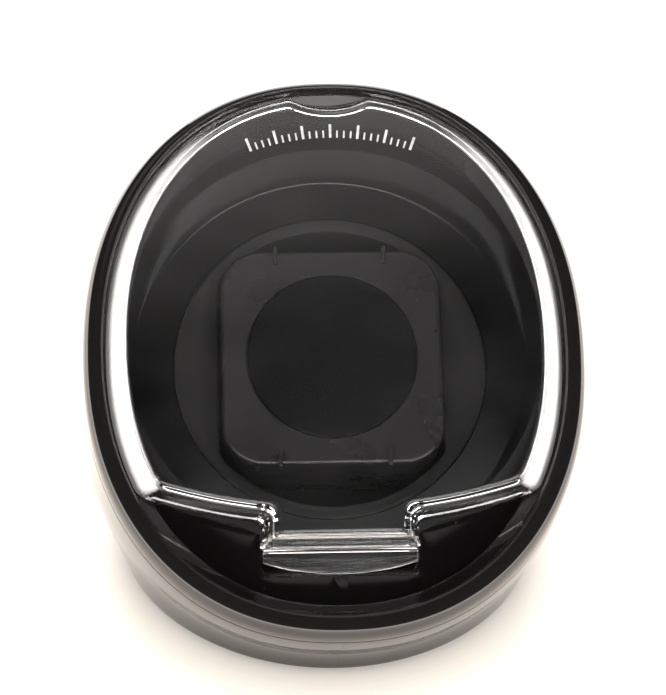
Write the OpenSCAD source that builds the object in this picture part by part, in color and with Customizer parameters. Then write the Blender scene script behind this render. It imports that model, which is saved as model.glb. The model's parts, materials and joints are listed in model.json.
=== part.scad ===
// Single watch winder: a glossy egg-shaped case on a round foot, with a tilted
// round opening, a clear hinged lid, and a turning cup that carries the watch.
// +Z is up and the front is -Y. The origin is the centre of the foot, on the table.
// Lengths are in millimetres.

/* [Face] */
// How far the face leans back from the horizontal
face_tilt = 36; // [30:1:42]
// Place of the opening's centre, front to back
face_y = -9; // [-12:0.5:-6]
// Height of the opening's centre above the table
face_z = 66; // [64:0.5:72]
// Half width of the rim around the face
rim_half_w = 59.1; // [58:0.1:60]
// Half height of the rim, measured up the face
rim_half_h = 68.3; // [67:0.1:69]
// How far the rim's centre lies below the opening's centre
rim_drop = 2.5; // [2:0.1:3]
// Fullness of the rim's outline: 2 is an ellipse, more is squarer
rim_power = 2.2; // [2:0.05:2.5]
// Height of the rim's crest above the face plate
rim_rise = 5; // [4:0.5:6]

/* [Case] */
// Wall of the two shell halves
wall = 2.2; // [1.8:0.1:3]
// Radius of the shell at the foot
shell_foot_r = 51.2; // [50.5:0.1:51.5]
// Height of the shell's lower edge
shell_foot_z = 2.2; // [2:0.1:3]
// Radius of the foot ring's flange
foot_r = 50.4; // [49.5:0.1:50.5]

/* [Opening] */
// Radius of the round opening in the face plate
opening_r = 49; // [48:0.5:50]
// Depth of the funnel floor below the face plate
funnel_depth = 18; // [16:0.5:20]
// Radius of the turning disc
table_r = 37.7; // [36:0.1:38]
// Depth of the well that holds the watch carrier
well_depth = 22; // [22:0.5:23]

/* [Watch carrier] */
// Width of the carrier's front plate
carrier_w = 52.5; // [50:0.5:53]
// Height of the carrier's front plate
carrier_h = 53; // [50:0.5:54]
// Corner radius of the front plate
carrier_corner = 9.5; // [8:0.5:12]
// How far the front plate stands above the turning disc
carrier_rise = 9; // [8:0.5:10]
// Radius of the round pad
pad_r = 20.2; // [18:0.1:22]

/* [Lid] */
// Height of the lid's outside above the face plate
lid_top = 9.4; // [9:0.1:12]
// Wall of the clear lid
lid_wall = 1.8; // [1.5:0.1:2]
// Half width of the hinge tab
tab_half_w = 18; // [16:0.5:18]
// Place of the hinge pin down the face
pin_v = -47.9; // [-48.5:0.1:-47.5]
// Radius of the hinge pin
pin_r = 0.9; // [0.8:0.05:1]

/* [Drive] */
// Tooth size: pitch diameter over tooth count
gear_module = 0.7; // [0.7:0.05:0.75]
// Teeth of the large gear on the spindle
spindle_teeth = 60; // [56:1:60]
// Teeth of the motor's pinion
pinion_teeth = 12; // [12:1:14]
// Direction of the motor from the spindle, seen on the face
motor_angle = 55; // [50:1:60]

/* [Hidden] */
$fn = 64;

gap = 0.3;                        // running gap between curved faces that move
outline_steps = 72;               // points round a full outline
meridian_steps = 14;              // rows from the rim down to the foot
half_steps = 30;                  // columns round one shell half

// The case: each meridian is a cubic curve from the rim down to the foot.
parting_n = -0.6;                 // line where the bezel meets the shells
belly_reach = 0.45;               // handle length at the rim, over the span
belly_out = 0.09;                 // outward lean of that handle
foot_reach = 0.7;                 // handle length at the foot, over the span
foot_out = 0.34;                  // outward lean of that handle
short_span = 60;                  // spans below this get a shorter foot handle

// The recess inside the rim, where the lid lies.
recess_half_w = rim_half_w - 5.1;
recess_half_h = rim_half_h - 4.3;
recess_drop = rim_drop - 1.4;
chamfer_w = 3;
chamfer_h = 1.2;                  // the chamfer's top edge, above the face plate

plate_t = 2.2;                    // face plate
funnel_wall = 1.8;
funnel_floor_r = opening_r - 1.7;
table_n = -funnel_depth - 0.5;    // top of the turning disc
table_t = 2.2;
well_n = table_n - well_depth;    // floor of the well
well_r = table_r - 3.1;
well_wall = 1.5;
well_flat = carrier_w / 2 + 0.8;  // flat sides of the well

pin_n = -1.2;
pin_half_len = tab_half_w + 2.2;
pocket_half_w = tab_half_w + 0.4;
pocket_top_v = -42.5;
pocket_end_v = -55.5;
pocket_floor_n = -9;

lid_base_n = chamfer_h + 0.1;     // the lid's edge clears the sloping chamfer
channel_base_n = 0.3;             // lower edge of the hinge tab, over the flat plate
lid_half_w = recess_half_w - 0.5;
lid_half_h = recess_half_h - 0.5;
lid_arc_r = 138.5;                // the lid's lower edge is one large arc
lid_arc_v = 94.3;                 // centre of that arc
lid_slope = 4.1;                  // how far the side wall leans in by its top
lid_arc_slope = 1.4;
lid_edge = 1;                     // rounding along the top edge
dip_r = 19;                       // finger dip in the lid's upper edge
dip_depth = 3;
flap_end_v = -54.7;
knuckle_r = 2;

carrier_top_n = table_n + carrier_rise;
carrier_front_t = 12;             // depth of the front moulding
strap_gap = 6.5;                  // room for the strap behind the carrier
carrier_back_n = well_n + strap_gap;
carrier_skin = 2;
guide_spread = 13;                // strap guides, from the centre line
peg_r = 2.6;                      // the carrier's two pegs, left and right
peg_place = 20;
socket_r = 4.6;

gear_t = 4;
gear_n = well_n - well_wall - 1.2 - gear_t;
frame_n = gear_n - 1.2;           // front face of the drive frame
frame_t = 2.5;
spindle_r = 3;
bush_r = 5;
running_fit = 0.05;
pitch_r = gear_module * spindle_teeth / 2;
pinion_pitch_r = gear_module * pinion_teeth / 2;
centre_distance = pitch_r + pinion_pitch_r + 0.05;
motor_u = centre_distance * cos(motor_angle);
motor_v = centre_distance * sin(motor_angle);
motor_shaft_r = 1.5;
gearhead_r = 10;
gearhead_t = 5;
gearhead_n = frame_n - frame_t - gearhead_t;
can_r = 9.7;
can_t = 7;
post_r = 3.2;
post_angles = [35, 145, 198, 342];
post_circle_r = 42.5;
screw_r = 1.2;
motor_screw_circle_r = 7;

foot_low = 0.8;                   // gap under the foot ring, filled by the feet
collar_r = shell_foot_r - wall - 0.3;  // collar that locates the shells
collar_top = 6;
cover_r = collar_r - 1.6;
cover_low = 1.6;
cover_t = 2.4;
rubber_foot_r = 5;
rubber_foot_place = 37;
foot_angles = [45, 135, 225, 315];
boss_place = 42;
boss_r = 3.4;
boss_h = 10;
rib_t = 2;                        // ribs that tie the bosses to the shells
rib_h = 5;
rib_end = 51.6;
boss_angles = [20, 160, 200, 340];

panel_y = 45.5;                   // outside face of the rear panel
panel_w = 38;
panel_low = 8.5;
panel_high = 23.5;
panel_t = 2;
collar_t = 1.6;
inlet_x = 0;
inlet_z = 16;
inlet_r = 4;
inlet_bore_r = 2.75;
inlet_depth = 9.5;
switch_x = 12.2;
switch_travel = 2;
board_z = 9.4;
board_t = 1.6;

// Corner of a superellipse outline at angle t
function lobe(x) = sign(x) * pow(abs(x), 2 / rim_power);
function oval(t, half_w, half_h, drop) = [half_w * lobe(cos(t)), half_h * lobe(sin(t)) - drop];
function rim_at(t, inset) = oval(t, rim_half_w - inset, rim_half_h - inset, rim_drop);
function recess_at(t, grow) = oval(t, recess_half_w + grow, recess_half_h + grow, recess_drop);

// From the face's own frame (across, up the face, outward) to the part's frame
function from_face(p) = [
    p[0],
    face_y + p[1] * cos(face_tilt) - p[2] * sin(face_tilt),
    face_z + p[1] * sin(face_tilt) + p[2] * cos(face_tilt)
];
module on_face() { translate([0, face_y, face_z]) rotate([face_tilt, 0, 0]) children(); }

// A point of the shell: t goes round, s goes from the rim (0) to the foot (1)
function shell_at(t, s, inset) =
    let (
        edge = rim_at(t, inset),
        top = from_face([edge[0], edge[1], parting_n]),
        foot = [(shell_foot_r - inset) * cos(t), (shell_foot_r - inset) * sin(t), shell_foot_z],
        span = norm(top - foot),
        across = [lobe(cos(t)) / rim_half_w, lobe(sin(t)) / rim_half_h, 0],
        lean = from_face(across / norm(across)) - from_face([0, 0, 0]),
        inward = from_face([0, 0, -1]) - from_face([0, 0, 0]),
        q1 = top + belly_reach * span * (inward + belly_out * lean),
        reach = foot_reach * span * pow(min(1, span / short_span), 0.7),
        q2 = foot + reach * [foot_out * cos(t), foot_out * sin(t), 1],
        r = 1 - s
    )
    r * r * r * top + 3 * r * r * s * q1 + 3 * r * s * s * q2 + s * s * s * foot;

// Faces of a grid of points, rows of n points, with the winding chosen
function grid_faces(rows, n, first, flip) = [
    for (i = [0 : rows - 2], j = [0 : n - 2])
        let (a = first + i * n + j, b = a + 1, c = a + n + 1, d = a + n)
            flip ? [d, c, b, a] : [a, b, c, d]
];

// One half of the case: outer and inner skins joined along their four edges
module shell_half(outer_inset, inner_inset) {
    cols = half_steps + 1;
    rows = meridian_steps + 1;
    skin_points = rows * cols;
    points = [
        for (inset = [outer_inset, inner_inset], i = [0 : meridian_steps], j = [0 : half_steps])
            shell_at(-90 + 180 * j / half_steps, i / meridian_steps, inset)
    ];
    last_row = (rows - 1) * cols;
    faces = concat(
        grid_faces(rows, cols, 0, false),
        grid_faces(rows, cols, skin_points, true),
        [for (j = [0 : cols - 2]) [j + 1, j, skin_points + j, skin_points + j + 1]],
        [for (j = [0 : cols - 2])
            [last_row + j, last_row + j + 1, skin_points + last_row + j + 1, skin_points + last_row + j]],
        [for (i = [0 : rows - 2])
            let (a = i * cols, b = a + cols)
                [a, b, skin_points + b, skin_points + a]],
        [for (i = [0 : rows - 2])
            let (a = i * cols + cols - 1, b = a + cols)
                [b, a, skin_points + a, skin_points + b]]
    );
    polyhedron(points = points, faces = faces, convexity = 6);
}

// The closed outer form of the whole case, for trimming what ends at its skin
module case_form() {
    cols = 2 * half_steps;
    rows = meridian_steps + 1;
    points = [
        for (i = [0 : meridian_steps], j = [0 : cols - 1])
            shell_at(360 * j / cols, i / meridian_steps, 0.2)
    ];
    faces = concat(
        [for (i = [0 : rows - 2], j = [0 : cols - 1])
            let (k = (j + 1) % cols)
                [i * cols + j, i * cols + k, (i + 1) * cols + k, (i + 1) * cols + j]],
        [[for (j = [cols - 1 : -1 : 0]) j]],
        [[for (j = [0 : cols - 1]) (rows - 1) * cols + j]]
    );
    polyhedron(points = points, faces = faces, convexity = 4);
}

// Rear window in the shells, and the same outline made smaller
module rear_window(inset, y0, y1) {
    r = 3;
    translate([0, y1, 0])
        rotate([90, 0, 0])
            linear_extrude(y1 - y0)
                translate([-panel_w / 2 + inset, panel_low + inset])
                    rounded_rect(panel_w - 2 * inset, panel_high - panel_low - 2 * inset, r - inset / 2);
}

// Rounded rectangle from its lower left corner, with true arcs
module rounded_rect(w, h, r) {
    union() {
        translate([r, 0]) square([w - 2 * r, h]);
        translate([0, r]) square([w, h - 2 * r]);
        for (x = [r, w - r], y = [r, h - r]) translate([x, y]) circle(r);
    }
}

module shell_side() {
    difference() {
        union() {
            shell_half(0, wall);
            // bosses for the bottom cover's screws
            for (a = [boss_angles[0], boss_angles[3]])
                rotate([0, 0, a]) translate([boss_place, 0, collar_top]) {
                    cylinder(h = boss_h, r = boss_r);
                    translate([0, -rib_t / 2, 0]) cube([rib_end - boss_place, rib_t, rib_h]);
                }
        }
        for (a = [boss_angles[0], boss_angles[3]])
            rotate([0, 0, a])
                translate([boss_place, 0, collar_top - 1])
                    cylinder(h = 9, r = screw_r, $fn = 24);
        rear_window(-0.1, 40, 75);
    }
}
module right_shell() { color("#121112") shell_side(); }
module left_shell() { color("#121112") mirror([1, 0, 0]) shell_side(); }

// Rim ring: one profile carried round the face, from the rim to the recess. Each row is
// which outline it follows, how far inside or outside it, and its height on the face.
function bezel_point(t, row) =
    let (p = row[0] ? rim_at(t, row[1]) : recess_at(t, row[1])) [p[0], p[1], row[2]];
module front_bezel() {
    rows = [
        [true, 0.3, parting_n],
        [true, 0, 0.3],
        [true, 0.35, 0.52 * rim_rise],
        [true, 0.95, 0.82 * rim_rise],
        [true, 1.9, rim_rise - 0.05],
        [false, 0.5, rim_rise],
        [false, 0.1, rim_rise - 0.5],
        [false, 0, chamfer_h],
        [false, -chamfer_w, 0.1],
        [false, -chamfer_w, -3],
        [true, 3, -3],
        [true, 3, parting_n]
    ];
    count = len(rows);
    points = [for (j = [0 : outline_steps - 1], row = rows) bezel_point(360 * j / outline_steps, row)];
    faces = [
        for (j = [0 : outline_steps - 1], i = [0 : count - 1])
            let (a = j * count, b = ((j + 1) % outline_steps) * count, k = (i + 1) % count)
                [a + i, a + k, b + k, b + i]
    ];
    color("#0d0d0e") on_face() polyhedron(points = points, faces = faces, convexity = 6);
}

// Space inside the funnel, above its floor
module funnel_space() {
    rotate_extrude($fn = 96)
        polygon([
            [0, 30], [opening_r, 30], [opening_r, -0.6], [funnel_floor_r, -funnel_depth + 0.8],
            [funnel_floor_r - 0.8, -funnel_depth], [table_r + gap, -funnel_depth], [0, -funnel_depth]
        ]);
}

module face_plate() {
    side_w = 2.4;
    wall_r = opening_r + funnel_wall;
    under_n = -funnel_depth - funnel_wall;
    pocket_wall = 1.6;
    color("#161516") on_face() difference() {
        union() {
            translate([0, 0, -plate_t])
                linear_extrude(plate_t)
                    polygon([
                        for (j = [0 : outline_steps - 1])
                            recess_at(360 * j / outline_steps, -chamfer_w - 0.02)
                    ]);
            rotate_extrude($fn = 96)
                polygon([
                    [table_r + gap, under_n], [funnel_floor_r + funnel_wall, under_n],
                    [wall_r, -plate_t], [wall_r, -0.5], [table_r + gap, -0.5]
                ]);
            // walls of the hinge pocket
            translate([-pocket_half_w - side_w, pocket_end_v - pocket_wall, pocket_floor_n - pocket_wall])
                cube([
                    2 * (pocket_half_w + side_w),
                    pocket_top_v - pocket_end_v + pocket_wall,
                    -pocket_floor_n + pocket_wall - 0.1
                ]);
        }
        funnel_space();
        translate([0, 0, -funnel_depth - 5]) cylinder(h = 6, r = table_r + gap, $fn = 96);
        // the pocket, with a small relief under the flap's middle
        translate([-pocket_half_w, pocket_end_v, pocket_floor_n])
            cube([2 * pocket_half_w, pocket_top_v - pocket_end_v + 12, 20]);
        translate([-1.4, pocket_end_v - 0.9, -5]) cube([2.8, 2, 10]);
        translate([-pin_half_len, pin_v, pin_n])
            rotate([0, 90, 0]) cylinder(h = 2 * pin_half_len, r = pin_r, $fn = 32);
    }
}

module hinge_pin() {
    color("#b8b4aa") on_face()
        translate([-pin_half_len + 0.2, pin_v, pin_n])
            rotate([0, 90, 0]) cylinder(h = 2 * pin_half_len - 0.4, r = pin_r, $fn = 32);
}

// Outline of the lid's main body, moved in by one amount along the rim and
// another along the lower arc, with the finger dip cut when asked
module lid_outline(inset, arc_inset) {
    intersection() {
        polygon([for (j = [0 : outline_steps - 1])
            oval(360 * j / outline_steps, lid_half_w - inset, lid_half_h - inset, recess_drop)]);
        translate([0, lid_arc_v]) circle(lid_arc_r - arc_inset, $fn = 180);
    }
}
module lid_slab(inset, arc_inset, n) {
    translate([0, 0, n]) linear_extrude(0.02) lid_outline(inset, arc_inset);
}
module lid_body(thick, low, high) {
    hull() {
        lid_slab(thick, thick, low);
        lid_slab(thick + lid_slope - lid_edge, thick + lid_arc_slope - lid_edge / 3, high - lid_edge);
        lid_slab(thick + lid_slope + lid_edge / 4, thick + lid_arc_slope + lid_edge / 2, high - 0.02);
    }
}
module lid_channel(thick, low, high) {
    base_w = tab_half_w - 0.1 - thick;
    top_w = base_w - 2.4;
    bend_n = 2.5;
    front_v = pin_v - 1.3 + thick;
    translate([0, -40, 0])
        rotate([90, 0, 0])
            linear_extrude(-40 - front_v)
                polygon([
                    [-base_w, low], [base_w, low], [base_w, bend_n],
                    [top_w, high], [-top_w, high], [-base_w, bend_n]
                ]);
}
// Round dip for a fingertip in the upper edge, leaning as the side wall does
module finger_dip(grow) {
    lean = atan(lid_slope / (lid_top - lid_base_n));
    translate([0, lid_half_h - recess_drop - dip_depth + dip_r, lid_base_n])
        rotate([lean, 0, 0]) cylinder(h = 60, r = dip_r + grow, center = true, $fn = 96);
}
module lid() {
    color([0.9, 0.93, 0.95, 0.35]) on_face() difference() {
        union() {
            difference() {
                union() {
                    lid_body(0, lid_base_n, lid_top);
                    lid_channel(0, channel_base_n, lid_top);
                }
                difference() {
                    union() {
                        lid_body(lid_wall, lid_base_n - 1, lid_top - lid_wall);
                        lid_channel(lid_wall, -4, lid_top - lid_wall);
                    }
                    finger_dip(lid_wall);
                }
            }
            // cheeks that carry the pin, the knuckle and the lever flap
            for (side = [-1, 1])
                translate([side * (tab_half_w - 0.1 - lid_wall / 2) - lid_wall / 2, pin_v - 1.3, -3])
                    cube([lid_wall, 4.6, lid_base_n + 3.1]);
            translate([-tab_half_w + 0.1, pin_v, pin_n])
                rotate([0, 90, 0]) cylinder(h = 2 * tab_half_w - 0.2, r = knuckle_r);
            intersection() {
                translate([-tab_half_w + 0.1, flap_end_v, -1.6])
                    cube([2 * tab_half_w - 0.2, pin_v - flap_end_v, 1.6]);
                translate([0, flap_end_v + 61, -2]) cylinder(h = 4, r = 61, $fn = 180);
            }
        }
        finger_dip(0);
        translate([-tab_half_w - 1, pin_v, pin_n])
            rotate([0, 90, 0]) cylinder(h = 2 * tab_half_w + 2, r = pin_r + running_fit, $fn = 32);
    }
}

// Plan of the well: a circle with two flat sides
module well_plan(grow) {
    intersection() {
        circle(well_r + grow, $fn = 96);
        square([2 * (well_flat + grow), 2 * (well_r + grow + 1)], center = true);
    }
}
module peg_places() {
    for (side = [-1, 1]) translate([side * peg_place, 0, 0]) children();
}
module turning_cup() {
    hub_h = 1.2;
    color("#1b1a1b") on_face() difference() {
        union() {
            translate([0, 0, table_n - table_t]) cylinder(h = table_t, r = table_r, $fn = 96);
            translate([0, 0, well_n - well_wall])
                linear_extrude(well_depth + well_wall) well_plan(well_wall);
            translate([0, 0, well_n - well_wall - hub_h]) cylinder(h = hub_h + 0.5, r = 8);
        }
        difference() {
            translate([0, 0, well_n]) linear_extrude(well_depth + 5) well_plan(0);
            // sockets for the carrier's pegs
            peg_places() translate([0, 0, well_n - 1]) cylinder(h = strap_gap + 0.8, r = socket_r);
        }
        peg_places() translate([0, 0, well_n + 0.2]) cylinder(h = 20, r = peg_r + running_fit, $fn = 48);
        translate([0, 0, well_n - 6]) cylinder(h = 5.6, r = spindle_r, $fn = 48);
    }
}

module spindle() {
    color("#a7a9ab") on_face()
        translate([0, 0, frame_n - frame_t - 4])
            cylinder(h = well_n - 0.4 - (frame_n - frame_t - 4), r = spindle_r, $fn = 48);
}

// Involute tooth flank and one gear outline, computed tooth by tooth
function involute(base_r, a) = [
    base_r * (cos(a) + a * PI / 180 * sin(a)),
    base_r * (sin(a) - a * PI / 180 * cos(a))
];
function turn(p, a) = [p[0] * cos(a) - p[1] * sin(a), p[0] * sin(a) + p[1] * cos(a)];
function flank_angle(base_r, r) = sqrt(pow(r / base_r, 2) - 1) * 180 / PI;
module gear_plan(teeth, addendum) {
    pitch = gear_module * teeth / 2;
    base = pitch * cos(20);
    tip = pitch + gear_module * addendum;
    root = pitch - gear_module * 1.25;
    low = max(base, root + 0.02);
    at_pitch = involute(base, flank_angle(base, pitch));
    half_tooth = 90 / teeth - 0.09 / pitch * 180 / PI / 2 + atan2(at_pitch[1], at_pitch[0]);
    steps = 3;
    flank = [
        for (i = [0 : steps])
            let (r = low + (tip - low) * i / steps) turn(involute(base, flank_angle(base, r)), -half_tooth)
    ];
    polygon([
        for (k = [0 : teeth - 1])
            each concat(
                [turn(turn([root, 0], atan2(flank[0][1], flank[0][0])), 360 * k / teeth)],
                [for (p = flank) turn(p, 360 * k / teeth)],
                [for (i = [steps : -1 : 0]) turn([flank[i][0], -flank[i][1]], 360 * k / teeth)],
                [turn(turn([root, 0], -atan2(flank[0][1], flank[0][0])), 360 * k / teeth)]
            )
    ]);
}
module spindle_gear() {
    hub_r = 6.5;
    rim_r = pitch_r - 3;
    color("#d8d4c8") on_face() translate([0, 0, gear_n]) difference() {
        union() {
            linear_extrude(gear_t) difference() {
                rotate([0, 0, motor_angle]) gear_plan(spindle_teeth, 0.72);
                circle(rim_r);
            }
            translate([0, 0, 1]) cylinder(h = 1.6, r = rim_r + 0.1);
            cylinder(h = gear_t, r = hub_r);
        }
        translate([0, 0, -1]) cylinder(h = gear_t + 2, r = spindle_r, $fn = 48);
        for (a = [0 : 60 : 300])
            rotate([0, 0, a]) translate([(hub_r + rim_r) / 2, 0, -1]) cylinder(h = 6, r = 3.4, $fn = 32);
    }
}

module spindle_clip() {
    color("#8d8f92") on_face()
        translate([0, 0, frame_n - frame_t - 2.2])
            difference() {
                cylinder(h = 0.8, r = 5.2);
                translate([0, 0, -1]) cylinder(h = 3, r = spindle_r, $fn = 48);
                translate([-1, 0, -1]) cube([2, 8, 3]);
            }
}

module spindle_bush() {
    color("#b08a4a") on_face() difference() {
        union() {
            translate([0, 0, frame_n - frame_t - 0.8]) cylinder(h = frame_t + 1.2, r = bush_r, $fn = 48);
            translate([0, 0, frame_n]) cylinder(h = 0.8, r = bush_r + 1.4, $fn = 48);
        }
        translate([0, 0, frame_n - 10]) cylinder(h = 20, r = spindle_r + running_fit, $fn = 48);
    }
}

// Watch carrier: a rounded block in two mouldings that snap together
module carrier_plan(inset) {
    translate([-carrier_w / 2 + inset, -carrier_h / 2 + inset])
        rounded_rect(carrier_w - 2 * inset, carrier_h - 2 * inset, carrier_corner - inset);
}
module carrier_front() {
    low = carrier_top_n - carrier_front_t;
    color("#1d1c1d") on_face() difference() {
        union() {
            translate([0, 0, low]) linear_extrude(carrier_front_t - 0.8) carrier_plan(0);
            translate([0, 0, carrier_top_n - 0.8]) linear_extrude(0.8) carrier_plan(0.6);
            // strap guides at the upper and lower edges
            for (u = [-guide_spread, guide_spread], v = [-1, 1])
                translate([u - 0.5, v * (carrier_h / 2 - 1.4) - 2.2, carrier_top_n - 4])
                    cube([1, 4.4, 5.2]);
        }
        translate([0, 0, low - 1])
            linear_extrude(carrier_front_t + 1 - carrier_skin) carrier_plan(carrier_skin);
        translate([0, 0, carrier_top_n - 0.7]) cylinder(h = 5, r = pad_r + 0.15);
    }
}
module carrier_back() {
    high = carrier_top_n - carrier_front_t;
    color("#1d1c1d") on_face() union() {
        difference() {
            union() {
                translate([0, 0, carrier_back_n]) linear_extrude(high - carrier_back_n) carrier_plan(0);
                // locating lip inside the front moulding
                translate([0, 0, high]) linear_extrude(2) carrier_plan(carrier_skin);
            }
            translate([0, 0, carrier_back_n + carrier_skin])
                linear_extrude(40) carrier_plan(2 * carrier_skin);
        }
        peg_places() translate([0, 0, well_n + 0.6]) cylinder(h = strap_gap + 0.5, r = peg_r, $fn = 48);
    }
}
module carrier_pad() {
    color("#2b2b2d") on_face() union() {
        translate([0, 0, carrier_top_n - 0.7]) cylinder(h = 0.9, r = pad_r);
        translate([0, 0, carrier_top_n + 0.2]) cylinder(h = 0.4, r = pad_r - 0.4);
    }
}

// Drive frame: a plate with arms, held off the funnel floor by posts
module frame_plan() {
    arm_w = 9;
    difference() {
        union() {
            circle(17);
            translate([motor_u, motor_v]) circle(gearhead_r + 1.5);
            for (a = post_angles)
                rotate(a) {
                    translate([12, -arm_w / 2]) square([post_circle_r - 12, arm_w]);
                    translate([post_circle_r, 0]) circle(arm_w / 2 + 0.4);
                }
        }
        circle(bush_r, $fn = 48);
        translate([motor_u, motor_v]) circle(3.6, $fn = 48);
        for (a = post_angles) rotate(a) translate([post_circle_r, 0]) circle(screw_r + 0.2, $fn = 24);
        translate([motor_u, motor_v]) motor_screw_places() circle(0.9, $fn = 24);
    }
}
module drive_frame() {
    color("#3a3a3c") on_face() translate([0, 0, frame_n - frame_t]) linear_extrude(frame_t) frame_plan();
}
module on_motor(n) { translate([motor_u, motor_v, n]) children(); }
module motor_screw_places() {
    for (side = [-1, 1])
        rotate([0, 0, motor_angle + 90]) translate([side * motor_screw_circle_r, 0, 0]) children();
}
module frame_posts() {
    high = -funnel_depth - funnel_wall;
    color("#2a2a2c") on_face()
        for (a = post_angles)
            rotate([0, 0, a]) translate([post_circle_r, 0, frame_n]) difference() {
                cylinder(h = high - frame_n, r = post_r);
                translate([0, 0, -1]) cylinder(h = 11, r = screw_r, $fn = 24);
            }
}
module pan_screw(shank, head_r, len) {
    cylinder(h = len, r = shank, $fn = 24);
    translate([0, 0, -1.4]) difference() {
        cylinder(h = 1.4, r = head_r, $fn = 32);
        translate([-0.3, -1.4, -0.1]) cube([0.6, 2.8, 0.8]);
        translate([-1.4, -0.3, -0.1]) cube([2.8, 0.6, 0.8]);
    }
}
module frame_screws() {
    color("#9a9c9f") on_face()
        for (a = post_angles)
            rotate([0, 0, a]) translate([post_circle_r, 0, frame_n - frame_t]) pan_screw(screw_r, 2.4, 11);
}

module gearhead() {
    color("#8f9194") on_face() on_motor(gearhead_n) difference() {
        union() {
            cylinder(h = gearhead_t, r = gearhead_r);
            cylinder(h = gearhead_t + 1.5, r = 3.4, $fn = 48);
        }
        translate([0, 0, -1]) cylinder(h = 12, r = motor_shaft_r + running_fit, $fn = 32);
        motor_screw_places() translate([0, 0, 1]) cylinder(h = 12, r = 0.8, $fn = 24);
    }
}
module motor_can() {
    color("#b4b6b8") on_face() on_motor(gearhead_n - can_t) union() {
        cylinder(h = can_t, r = can_r);
        translate([0, 0, -1]) cylinder(h = 1, r = 3.5);
    }
}
module motor_screws() {
    color("#9a9c9f") on_face() on_motor(frame_n)
        motor_screw_places() rotate([180, 0, 0]) pan_screw(0.8, 1.6, 5);
}
module motor_pinion() {
    phase = 180 / pinion_teeth * ((pinion_teeth + 1) % 2);
    shaft_n = gearhead_n + 1;
    color("#c9a24a") on_face() union() {
        on_motor(gear_n)
            linear_extrude(gear_t) rotate([0, 0, motor_angle + phase]) gear_plan(pinion_teeth, 0.95);
        on_motor(shaft_n) cylinder(h = gear_n - shaft_n + 1, r = motor_shaft_r, $fn = 32);
    }
}

// Foot ring, its cover, screws and feet
module foot_ring() {
    inner = cover_r + 0.2;
    ledge_r = inner - 2;
    ledge_low = cover_low + cover_t;
    color("#0e0e0f") rotate_extrude($fn = 128)
        polygon([
            [inner, foot_low + 0.4], [foot_r - 0.6, foot_low],
            [foot_r, foot_low + 0.5], [foot_r, shell_foot_z],
            [collar_r, shell_foot_z], [collar_r, collar_top],
            [ledge_r, collar_top], [ledge_r, ledge_low], [inner, ledge_low]
        ]);
}
module bottom_cover() {
    color("#1c1c1d") difference() {
        union() {
            translate([0, 0, cover_low]) cylinder(h = cover_t, r = cover_r, $fn = 128);
            // pads that back the screws up to the shells' bosses
            for (a = boss_angles)
                rotate([0, 0, a]) translate([boss_place, 0, cover_low + 1])
                    cylinder(h = collar_top - cover_low - 1, r = 2.4, $fn = 32);
        }
        for (a = boss_angles)
            rotate([0, 0, a]) translate([boss_place, 0, 0]) cylinder(h = 12, r = screw_r + 0.2, $fn = 24);
        for (a = foot_angles)
            rotate([0, 0, a]) translate([rubber_foot_place, 0, 0])
                cylinder(h = cover_low + 0.8, r = rubber_foot_r, $fn = 48);
    }
}
module cover_screws() {
    color("#9a9c9f")
        for (a = boss_angles)
            rotate([0, 0, a]) translate([boss_place, 0, cover_low]) pan_screw(screw_r, 2.4, 11);
}
module rubber_feet() {
    color("#2a2a2a")
        for (a = foot_angles)
            rotate([0, 0, a]) translate([rubber_foot_place, 0, 0]) union() {
                translate([0, 0, 0.5]) cylinder(h = cover_low + 0.3, r = rubber_foot_r, $fn = 48);
                cylinder(h = 0.5, r = rubber_foot_r - 0.4, $fn = 48);
            }
}

// Recessed rear panel with its collar trimmed to the case's skin
module rear_panel() {
    color("#19191a") difference() {
        intersection() {
            rear_window(0, panel_y - panel_t, 75);
            case_form();
        }
        rear_window(collar_t, panel_y, 80);
        inlet_barrel(1, 5, inlet_r);
        for (side = [-1, 1])
            translate([side * switch_x - 4, panel_y - 4, inlet_z - 1.8]) cube([8, 6, 3.6]);
    }
}
// A cylinder on the inlet's axis, running in from a little outside the panel
module inlet_barrel(proud, len, r) {
    translate([inlet_x, panel_y + proud, inlet_z]) rotate([90, 0, 0]) cylinder(h = len, r = r, $fn = 48);
}
module dc_inlet() {
    color("#0a0a0a") difference() {
        union() {
            inlet_barrel(0, inlet_depth + 1.5, inlet_r);
            inlet_barrel(0.8, 0.8, inlet_r + 1.2);
        }
        inlet_barrel(2, inlet_depth + 2, inlet_bore_r);
    }
}
module slide_switch(x) {
    translate([x, 0, inlet_z]) difference() {
        translate([-6, panel_y - panel_t - 5, -3.2]) cube([12, 5, 6.4]);
        translate([-4.2, panel_y - panel_t - 3, -1.6]) cube([8.4, 5, 3.2]);
    }
}
module switch_slider(x) {
    translate([x - switch_travel / 2, 0, inlet_z]) union() {
        translate([-1.6, panel_y - panel_t - 2.8, -1.3]) cube([3.2, panel_t + 2.8, 2.6]);
        for (i = [-1, 0, 1])
            translate([i * 1.1 - 0.3, panel_y, -1.3]) cube([0.6, 0.9, 2.6]);
    }
}
module direction_switch() { color("#bfc1c3") slide_switch(-switch_x); }
module direction_slider() { color("#e8e8e6") switch_slider(-switch_x); }
module program_switch() { color("#bfc1c3") slide_switch(switch_x); }
module program_slider() { color("#e8e8e6") switch_slider(switch_x); }

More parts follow.
